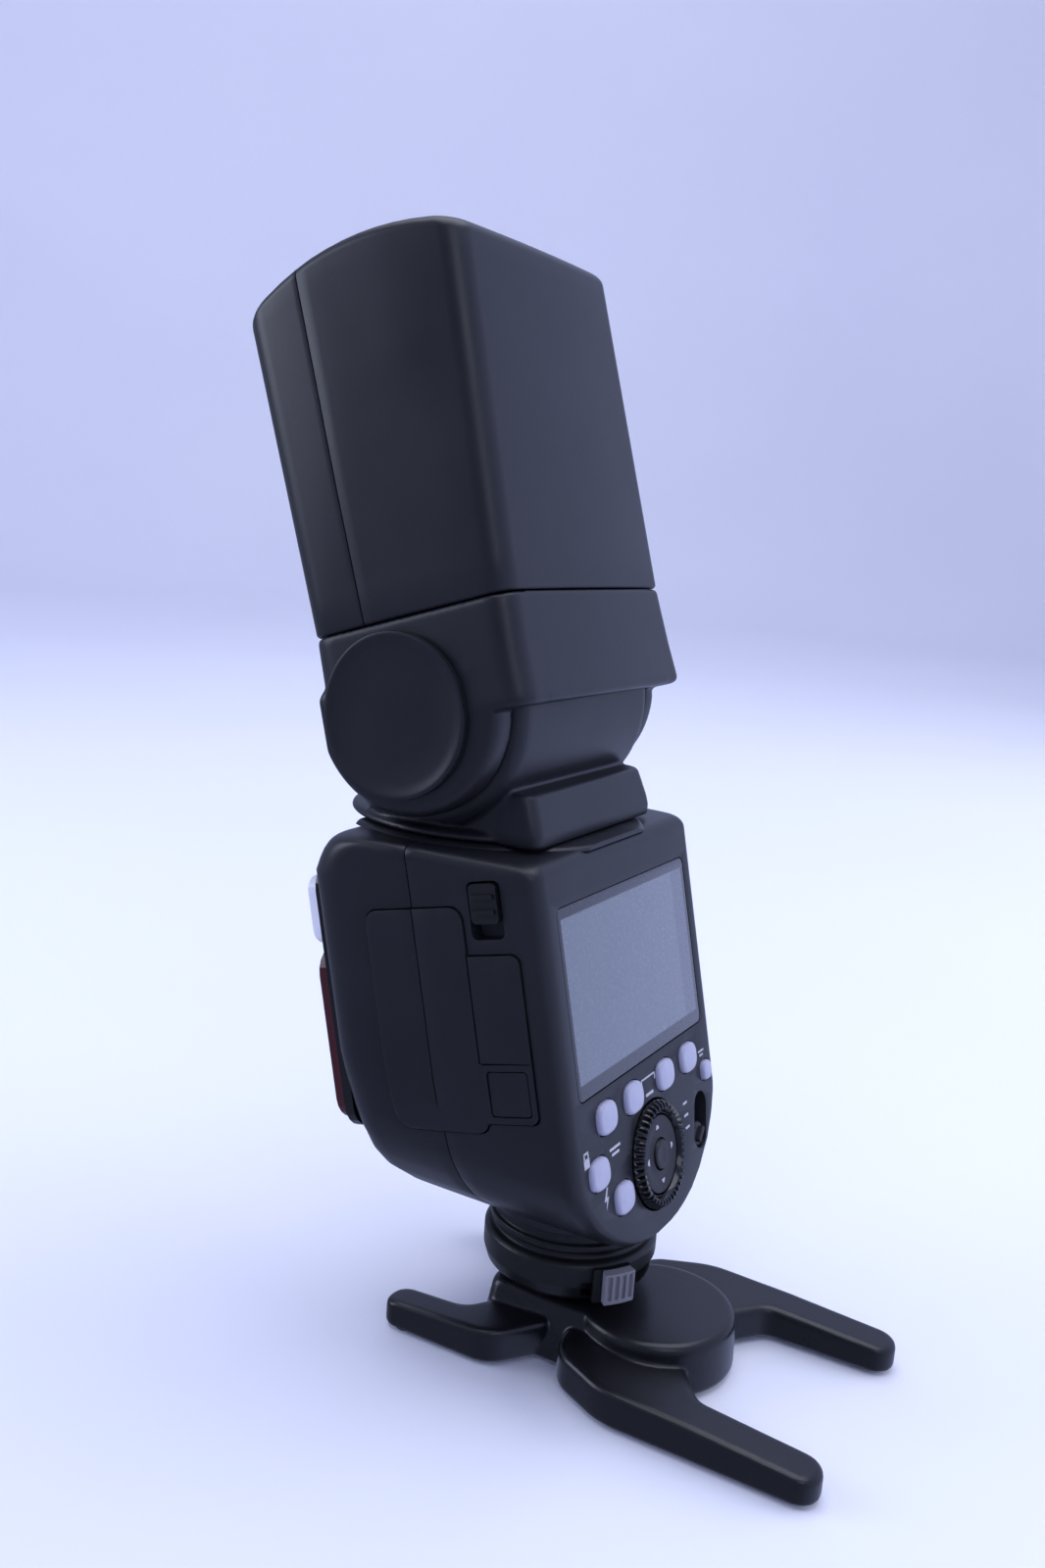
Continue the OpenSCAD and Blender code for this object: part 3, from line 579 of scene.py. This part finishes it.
TEETH = 44
rings = []
for r, y, tooth in ((8.1, -23, 0), (10.7, -23, 0), (10.7, -26.9, 0), (10.68, -27.2, 0.12),
                    (10.6, -27.6, 0.45), (10.3, -28.25, 0.75), (9.9, -28.7, 0.8), (9.4, -28.85, 0.65),
                    (9.0, -28.75, 0.35), (8.7, -28.5, 0.05), (8.4, -28.1, 0), (8.15, -27.6, 0)):
    pts = []
    for i in range(TEETH * 4):
        t = 2 * math.pi * i / (TEETH * 4)
        low = tooth if i % 4 in (2, 3) else 0.0
        rr = r - low * 0.55
        pts.append((rr * math.cos(t), y + low, DIAL_Z + rr * math.sin(t)))
    rings.append(np.array(pts))
dial = loft("dial_knurled_ring", rings, BODY)
cut(dial, lathe("c", [(8.08, -32), (8.08, -20)], "y", DIAL, BODY))
piece(dial, "gloss", "dial", "dial_ring", angle=22)
pad = lathe("dial_pad", [(7.8, -22.4), (7.8, -27.3), (7.6, -27.7), (7.1, -27.85), (5.5, -27.6), (4.2, -27.55),
            (3.3, -27.75), (3.2, -27.4), (3.2, -26)], "y", DIAL, BODY)
cut(pad, lathe("c", [(3.25, -32), (3.25, -20)], "y", DIAL, BODY))
piece(pad, "dark", "nav", "nav_pad")
button = lathe("dial_button", [(3, -21.8), (3, -27.8), (2.85, -28.1), (2.5, -28.25), (1.6, -28.15),
                               (0.6, -28.1)], "y", DIAL, BODY)
piece(button, "dark", "set_key", "set_button")


def mark(name, outlines, body, y):
    """Printed marks: thin raised outlines on the key face."""
    parts = [prism("m", np.array(o, float), y, y + 0.12, "y", BODY) for o in outlines]
    return piece(join(name, parts), "print", body)


def bar(x, z, w, h):
    """Corners of a printed bar."""
    return [(x - w / 2, z - h / 2), (x + w / 2, z - h / 2), (x + w / 2, z + h / 2), (x - w / 2, z + h / 2)]


ticks = [bar(0, 54.0, 6.0, 0.35), bar(-3, 53.4, 0.35, 1.3), bar(3, 53.4, 0.35, 1.3), bar(0, 50.6, 3.4, 0.6)]
ticks += [bar(26.4, 51.4, 2.8, 0.4), bar(26.4, 50.5, 1.8, 0.4)]
ticks += [bar(-17.0, 45.7, 4.4, 0.5), bar(-17.0, 44.6, 3.0, 0.5)]
ticks += [bar(15.6, 43.4 - 2.6 * k, 2.0, 0.5) for k in range(3)]
bolt = [(-22.1, 39.7), (-23.5, 37.4), (-22.6, 37.4), (-23.1, 35.6), (-21.6, 37.9), (-22.5, 37.9),
        (-21.6, 39.7)]
lock = [bar(-28.3, 46.6, 2.1, 1.8), bar(-29.05, 47.9, 0.4, 1.3), bar(-27.55, 47.9, 0.4, 1.3),
        bar(-28.3, 48.5, 1.9, 0.4)]
mark("panel_marks", ticks + [bolt] + lock, "flash_body", -FACE_Y - 0.07)
dots = []
for k in range(4):
    a = math.radians(90 * k)
    cx, cz = 5.6 * math.cos(a), DIAL_Z + 5.6 * math.sin(a)
    dots.append([(cx + 0.9 * math.cos(a + b), cz + 0.9 * math.sin(a + b)) for b in (0, 2.2, 4.08)])
mark("dial_marks", dots, "nav", -27.66)

# power switch
knob = prism("power_slide_cap", rect(-2.75, 2.75, -5.7, -0.4, 2.5), -26.4, -23, "y", POWER, 0.7, 0)
ridge = prism("r", rect(-0.45, 0.45, -1.9, 1.9, 0.4), -27.3, -25.5, "y",
              POWER @ Matrix.Translation((0.1, 0, -3.1)) @ Matrix.Rotation(math.radians(35), 4, "Y"), 0.3, 0)
piece(join("power_slide", [knob, ridge]), "dark", "power", "power_knob")


# ---------------------------------------------------------------- head
HEAD_LOW, HEAD_HIGH = 17.62, 84     # the seam above the lower shell, and the level where the top's rim starts


def head_top_at(y):
    """Height of the head's crowned top."""
    return 87.4 - 0.0079 * (y + 7) ** 2


def head_outline(half, back, front):
    return ring([(-half, back, 4.6), (half, back, 4.6), (half, front, 6.5), (-half, front, 6.5)], 10, 10, 0.7)


def head_ring(t, inset=0.0, drop=0.0):
    """Outline of the head at share t of its height, in the head's own frame."""
    z_nom = HEAD_LOW + t * (HEAD_HIGH - HEAD_LOW)
    half = np.interp(z_nom, [-3, 0, 17.5, 85], [34.3, 34.2, 32.9, 29.7]) - inset
    back = -np.interp(z_nom, [-3, 6, 17.5, 84], [28.1, 27.6, 27.5, 29.7]) + inset
    front = np.interp(z_nom, [-3, 17.5, 84], [18.4, 18.6, 22.0]) - inset
    pts = head_outline(half, back, front)
    reach = half + np.interp(z_nom, [20, 50], [0.0, 0.6])
    pts[:, 0] = np.clip(pts[:, 0], -reach, reach)
    z = HEAD_LOW + t * (head_top_at(pts[:, 1]) - 2.4 - HEAD_LOW) + drop
    return np.column_stack([pts, z])


rings = [head_ring(0, 0.35), head_ring(0.004, 0.1), head_ring(0.01, 0)]
rings += [head_ring(t) for t in (0.1, 0.25, 0.4, 0.55, 0.7, 0.85, 0.95)]
for k in range(7):
    a = math.pi / 2 * k / 6
    rings.append(head_ring(1.0, 2.6 * (1 - math.cos(a)), 2.4 * math.sin(a)))
rim = rings[-1]
for s in (0.86, 0.66, 0.4, 0.15):
    p = rim.copy()
    p[:, 0] *= s
    p[:, 1] = -4 + (p[:, 1] + 4) * s
    p[:, 2] = head_top_at(p[:, 1])
    rings.append(p)
upper = loft("head_shell", rings, HEAD)
cut(upper, box("c", -28.4, 28.4, -20.3, 16.5, 24, 80, HEAD))
cut(upper, prism("c", rect(-24.3, 24.3, -19.4, 14.8, 2), 78, 100, "z", HEAD))
cut(upper, box("c", -25.3, 25.3, -24.1, -20.7, 44, 100, HEAD))
a, b = np.array([3.82, 17.0]), np.array([6.2, 92.0])
seam = np.array([a, b, b + [0.3, 0], a + [0.3, 0]])
cut(upper, prism("c", seam, -50, 50, "x", HEAD))
bevel(upper, 0.2)
settle(upper)
piece(upper, "black", "head", "head_rear", "head_front", "head_bezel", angle=28)

lower_rings = []
for z, d in ((-3.0, 1.2), (-2.75, 0.5), (-2.2, 0.1), (-1.6, 0.0), (5, 0), (12, 0), (16.6, 0), (17.2, 0.1),
             (17.42, 0.4)):
    half = np.interp(z, [-3, 0, 17.5], [34.3, 34.2, 32.9]) - d
    back = -np.interp(z, [-3, 6, 17.5], [28.1, 27.6, 27.5]) + d
    front = np.interp(z, [-3, 17.5], [18.4, 18.6]) - d
    pts = head_outline(half, back, front)
    pts[:, 0] = np.clip(pts[:, 0], -half, half)
    lower_rings.append(lift(pts, z, "z"))
lower = loft("head_lower_shell", lower_rings, HEAD)
cut(lower, lathe("c", [(23.5, -27.8), (23.5, 27.8)], "x", (0, 0, 0), HEAD, 160))
cheeks = []
sweep_angles = np.linspace(math.radians(196), math.radians(345), 40)
circle = [(-1.2 + 20.6 * math.cos(a), 1.2 + 20.6 * math.sin(a), 0.05) for a in sweep_angles]
cheek_line = ring([(18.3, 8, 2), (-20.2, 8, 2)] + circle, 1, 1)
for side in (-1, 1):
    if side > 0:
        cheeks.append(prism("cheek", cheek_line, 27.9, 33.9, "x", HEAD, 0.3, 2.6))
    else:
        cheeks.append(prism("cheek", cheek_line, -33.9, -27.9, "x", HEAD, 2.6, 0.3))
lower = soften("head_lower_shell", [], 0.5, 9, [lower] + cheeks)
piece(lower, "black", "head", "head_lower", angle=50)

# dished caps over the tilt pivot; the left one also stands for the CAD node that holds both
CAP_PROFILE = [(0.4, 0.32), (8, 0.36), (12.5, 0.5), (14.0, 0.8), (14.7, 1.05), (15.2, 1.12), (15.5, 1.0),
               (15.6, 0.7), (15.6, -0.4), (0.4, -0.4)]
for side, label, stands_for in ((-1, "left", ("pivot_caps",)), (1, "right", ())):
    profile = [(r, side * 34.3 + side * v) for r, v in CAP_PROFILE]
    pivot_cap = lathe("pivot_cap_" + label, profile, "x", (0, 0, 0), HEAD, 128)
    piece(pivot_cap, "black", "head", *stands_for)

# lens with straight ribs
xs = np.linspace(-24.1, 24.1, 121)
LENS_ENDS = (-19.2, 14.6)
verts = [(x, y, 83.9 + (0.28 if i % 2 else 0.0)) for y in LENS_ENDS for i, x in enumerate(xs)]
verts += [(x, y, 81.2) for y in LENS_ENDS for x in xs]
faces = []
n = len(xs)
for i in range(n - 1):
    faces += [(i, i + 1, n + i + 1, n + i), (2 * n + i, 3 * n + i, 3 * n + i + 1, 2 * n + i + 1),
              (i, 2 * n + i, 2 * n + i + 1, i + 1), (n + i, n + i + 1, 3 * n + i + 1, 3 * n + i)]
faces += [(0, n, 3 * n, 2 * n), (n - 1, 3 * n - 1, 4 * n - 1, 2 * n - 1)]
lens = make("lens_ribbed", verts, faces, HEAD)
piece(lens, "clear", "head", "fresnel_lens", angle=10)

# ---------------------------------------------------------------- neck, collar, foot and stand
drum = lathe("drum", [(19.8, -27.3), (20.6, -27.2), (21.6, -26.7), (22.4, -25.8), (22.85, -24.8),
                      (22.95, -23.6), (22.95, 23.6), (22.85, 24.8), (22.4, 25.8), (21.6, 26.7),
                      (20.6, 27.2), (19.8, 27.3)], "x", PIVOT, WORLD, 160)
cut(drum, box("c", -30, 30, 45.6, 90, 90, 170))
cut(drum, box("c", -30, 30, -10, 90, 90, 107.2))
base_rings = []
for z, d in ((106.3, 0.3), (106.55, 0.0), (108.6, 0.0), (110.5, 0.5), (114.0, 1.75), (115.4, 2.25),
             (115.9, 2.6), (116.1, 3.3)):
    outline = rect(-25.0 + d * 0.4, 25.0 - d * 0.4, 1.0 + d * 1.1, 40.2 - d * 0.9, 2.6, 8, 2)
    base_rings.append(lift(outline, z, "z"))
base = loft("base", base_rings)
disc = lathe("disc", [(28.9, 106.32), (29.3, 106.5), (29.4, 106.8), (29.2, 107.4), (28.5, 107.8),
                      (27.0, 108.0), (24, 108.1)], "z", SWIVEL, WORLD, 160)
cut(disc, box("c", -40, 40, -40, 1.8, 100, 120))
spigot = lathe("spigot", [(13.9, 101.6), (13.9, 108)], "z", SWIVEL)
neck = soften("neck_body", [], 0.4, 2, [drum, base, disc, spigot])
cut(neck, lathe("c", [(6.05, -40), (6.05, 40)], "x", PIVOT))
piece(neck, "black", "neck", "neck_housing", angle=50)
marks = []
for angle in (203, 210, 217):
    turned = Matrix.Translation(PIVOT) @ Matrix.Rotation(math.radians(angle) - math.pi / 2, 4, "X")
    marks.append(prism("m", rect(10.5, 13.0, -0.2, 0.2, 0.1), 22.9, 23.12, "y", turned))
piece(join("tilt_marks", marks), "print", "neck")
collar = lathe("swivel_collar_ring", [(14.3, 105.2), (31.0, 105.2), (30.6, 105.7), (30.0, 106.0),
                                      (29.4, 106.1), (14.3, 106.1)], "z", SWIVEL, WORLD, 160)
outline = body_ring(104.4)[:, :2]
cut(collar, prism("c", shrink(outline, 0.1), 100, 107.12, "z", f_hi=1.7), "INTERSECT")
cut(collar, lathe("c", [(14.25, 100), (14.25, 110)], "z", SWIVEL))
piece(collar, "black", "flash_body", "swivel_collar", angle=30)
foot = soften("foot_body", ["foot_base"], 0.3, 3)
piece(foot, "dark", "flash_body", "foot_base", angle=50)

LIMB_LOW, LIMB_TOP, LIMB_RIM = 0.8, 8.2, 1.4
LONG_LIMB = [(8, -9, 1), (14, -7.6, 3), (21.5, -8.6, 9), (28, -22, 15), (28, -64, 4.1), (19.5, -64, 4.1),
             (18.7, -38.5, 4), (13, -34, 1.5), (8, -30, 1)]
SHORT_LIMB = [(9, -4, 0.5), (15, -3.6, 3), (25, 4, 8), (25, 30, 3.6), (17.5, 30, 3.6), (17.5, 14, 5),
              (9, 8, 0.5)]


def slab(outline):
    """A flat-topped limb with a rounded upper rim."""
    rings = []
    for d, rise in ((0.5, 0), (0.15, 0.35), (0.0, 0.8)):
        rings.append(lift(shrink(outline, d), LIMB_LOW + rise, "z"))
    for k in range(6):
        a = math.pi / 2 * k / 5
        p = shrink(outline, LIMB_RIM * (1 - math.cos(a)))
        rings.append(lift(p, LIMB_TOP - LIMB_RIM * (1 - math.sin(a)), "z"))
    return loft("limb", rings)


def limb_top(y):
    """Height of a limb's top: highest at the deck and lower at both tips."""
    return np.interp(y, [-66, -63, -60, -40, -18, -2, 8, 26, 29, 31],
                     [5.2, 5.9, 6.2, 7.4, 8.0, 8.2, 7.6, 6.4, 6.1, 5.4])


limbs = []
for side in (-1, 1):
    for corners in (LONG_LIMB, SHORT_LIMB):
        limbs.append(slab(ring([(side * x, y, q) for x, y, q in corners][::side], 12, 3)))
deck_rings = []
for z, x_half, d in ((0.8, 16.2, 0.6), (1.2, 16.5, 0.1), (2.0, 16.2, 0), (4.5, 15.0, 0), (8, 13.4, 0),
                     (10.2, 12.4, 0.0), (10.9, 12.1, 0.15), (11.35, 11.9, 0.5), (11.6, 11.6, 1.1)):
    deck_rings.append(lift(rect(-x_half + d, x_half - d, -36.8 + d, 12 - d, 3.0, 8, 2), z, "z"))
end = lathe("end", [(15.6, 0.8), (16.2, 1.4), (16.3, 2), (16.0, 9.9), (15.8, 10.7), (15.3, 11.3),
                    (14.6, 11.6)], "z", (0, -20.9, 0), WORLD, 128)
deck = loft("deck", deck_rings)
cut(deck, box("c", -40, 40, -60, -24, -1, 20))
limbs = soften("limbs", [], 0.45, 1, limbs)
for v in limbs.data.vertices:
    share = (v.co.z / MM - LIMB_LOW) / (LIMB_TOP - LIMB_LOW)
    v.co.z = (LIMB_LOW + share * (limb_top(v.co.y / MM) - LIMB_LOW)) * MM
stand = soften("stand_body", [], 0.38, 2, [limbs, deck, end])
# shoe channel, its slot, the lock pin's groove, the insert's hole and the pads' hollows
cut(stand, box("c", -9.5, 9.5, -9.6, 50, 7.1, 10.0))
cut(stand, box("c", -6.5, 6.5, -9.6, 50, 7.5, 14))
cut(stand, box("c", -1.8, 1.8, -9.2, 50, 5.9, 7.8))
cut(stand, lathe("c", [(5.02, -1), (5.02, 5.8)]))
cutters = [lathe("c", [(2.75, -1), (2.75, 1.25)], "z", (x, y, 0)) for x, y in
           ((23.7, -59), (-23.7, -59), (21.2, 25.5), (-21.2, 25.5))]
cut(stand, join("c", cutters))
piece(stand, "stand", "stand", "stand_frame", angle=60)
grip = soften("lever_grip_ribbed", ["lever_grip"], 0.16, 2)
settle(bevel(grip, 0.01, angle=35))
piece(grip, "grip", "lever", "lever_grip", angle=50)

# ---------------------------------------------------------------- carried-over CAD pieces
LOOKS = {
    "tripod_insert": "brass", "stand_pads": "rubber", "lcd_module": "inner", "control_pcb": "board",
    "key_switches": "rubber", "main_pcb": "board", "main_capacitor": "sleeve", "transformer": "inner",
    "battery_contacts": "brass", "front_bezel": "gloss", "led_diffuser": "white", "af_window": "red",
    "port_block": "dark", "shoe_plate": "steel", "contact_block": "inner", "foot_screws": "steel",
    "battery_cells": "sleeve", "latch_button": "black", "lock_slider": "dark", "port_cover": "rubber",
    "lock_lever": "dark", "lock_pin": "steel", "contact_pins": "brass", "swivel_ring": "steel",
    "pivot_shaft": "steel", "head_frame": "inner", "zoom_motor": "steel", "zoom_screw": "steel",
    "zoom_carriage": "inner", "reflector": "mirror", "flash_tube": "tube", "wide_panel": "clear",
    "bounce_card": "white",
}
ROUND = {"front_bezel": 0.8, "led_diffuser": 0.4, "af_window": 0.4, "port_cover": 0.6, "latch_button": 0.3,
         "lock_slider": 0.25, "lock_lever": 0.3, "wide_panel": 0.2, "bounce_card": 0.2, "shoe_plate": 0.2}
for node_name, look in LOOKS.items():
    node = NODES[node_name]
    for s in node.material_slots:
        s.link = "OBJECT"
        s.material = M[look]
    if node_name in ROUND:
        bevel(node, ROUND[node_name], 3)


# ---------------------------------------------------------------- floor, light and camera
def sweep():
    """Round floor that curves up into a pale backdrop."""
    profile = [(0.02, 0), (0.4, 0), (0.9, 0), (1.5, 0), (1.9, 0.02)]
    bend = np.linspace(0.15, math.pi / 2, 12)
    profile += [(1.9 + 0.7 * math.sin(a), 0.7 - 0.68 * math.cos(a)) for a in bend]
    profile += [(2.62, 1.4), (2.62, 2.4)]
    verts, faces, seg = [], [], 96
    turns = [2 * math.pi * i / seg for i in range(seg)]
    for r, z in profile:
        verts += [(r * math.cos(a), r * math.sin(a), z) for a in turns]
    for k in range(len(profile) - 1):
        for i in range(seg):
            j = (i + 1) % seg
            faces.append((k * seg + j, k * seg + i, (k + 1) * seg + i, (k + 1) * seg + j))
    faces.append(tuple(range(seg)))
    mesh = bpy.data.meshes.new("sweep")
    mesh.from_pydata(verts, [], faces)
    mesh.polygons.foreach_set("use_smooth", [True] * len(mesh.polygons))
    obj = linked("sweep", mesh)
    mat, tree, bsdf = nodes_of("pale_backdrop")
    cloud = noise(tree, coords(tree), 2.0, 2)
    pale = two_tone(tree, cloud, (0.83, 0.84, 0.93, 1), (0.86, 0.87, 0.95, 1))
    tree.links.new(pale, bsdf.inputs["Base Color"])
    bsdf.inputs["Roughness"].default_value = 0.9
    bsdf.inputs["Specular IOR Level"].default_value = 0.1
    mesh.materials.append(mat)
    obj.visible_glossy = False


sweep()


def area(name, at, target, size, power, colour, mirrored=True):
    """A soft rectangular light aimed at a target; mirrored says if it shows in reflections."""
    light = bpy.data.lights.new(name, "AREA")
    light.shape = "RECTANGLE"
    light.size, light.size_y = size
    light.energy = power
    light.color = colour
    obj = linked(name, light)
    obj.location = at
    obj.rotation_euler = (Vector(target) - Vector(at)).to_track_quat("-Z", "Y").to_euler()
    obj.visible_glossy = mirrored


MID = (0, 0.01, 0.11)
area("key_right", (0.75, -0.85, 0.35), MID, (0.9, 0.9), 9, (0.92, 0.94, 1.0), False)
area("top_soft", (0.1, 0.1, 1.25), MID, (1.3, 1.3), 11, (0.86, 0.9, 1.0))
area("far_rim", (-0.5, 1.0, 0.5), MID, (0.5, 0.7), 4, (0.74, 0.8, 1.0))
area("near_fill", (-0.8, -0.75, 0.9), MID, (0.6, 0.5), 1.5, (0.85, 0.9, 1.0))
area("backdrop_wash", (0.7, 0.5, 1.7), (2.5, 1.5, 1.2), (0.8, 0.8), 10, (0.92, 0.945, 1.0), False)


def sky():
    """A soft room: bright to the right of the camera, dim to its left and below."""
    world = bpy.data.worlds.new("soft_sky")
    world.use_nodes = True
    tree = world.node_tree
    back = tree.nodes["Background"]
    tc = tree.nodes.new("ShaderNodeTexCoord")
    dot = tree.nodes.new("ShaderNodeVectorMath")
    dot.operation = "DOT_PRODUCT"
    dot.inputs[1].default_value = (0.82, -0.57, 0.0)
    tree.links.new(tc.outputs["Generated"], dot.inputs[0])
    level = tree.nodes.new("ShaderNodeMapRange")
    level.interpolation_type = "SMOOTHSTEP"
    level.inputs["From Min"].default_value = -0.7
    level.inputs["From Max"].default_value = 0.95
    level.inputs["To Min"].default_value = 0.3
    level.inputs["To Max"].default_value = 0.92
    tree.links.new(dot.outputs["Value"], level.inputs["Value"])
    tree.links.new(level.outputs["Result"], back.inputs["Strength"])
    back.inputs["Color"].default_value = (0.53, 0.61, 1.0, 1)
    bpy.context.scene.world = world


sky()
bpy.context.scene.view_settings.view_transform = "Standard"

# the camera's own axes and place, in metres
CAMERA_AT = (-0.239997, -0.115751, 0.16482)
RIGHT = Vector((0.49964632, -0.86347119, 0.06907281))
UP = Vector((0.12636632, 0.15154333, 0.98033982))
BACK = RIGHT.cross(UP)
cam = bpy.data.cameras.new("camera")
cam.sensor_fit = "VERTICAL"
cam.sensor_width = 36
cam.sensor_height = 36
cam.lens = 31.518
cam.clip_start, cam.clip_end = 0.01, 20
cam_obj = linked("camera", cam)
basis = Matrix((RIGHT, UP, BACK)).transposed().to_4x4()
cam_obj.matrix_world = Matrix.Translation(CAMERA_AT) @ basis
bpy.context.scene.camera = cam_obj
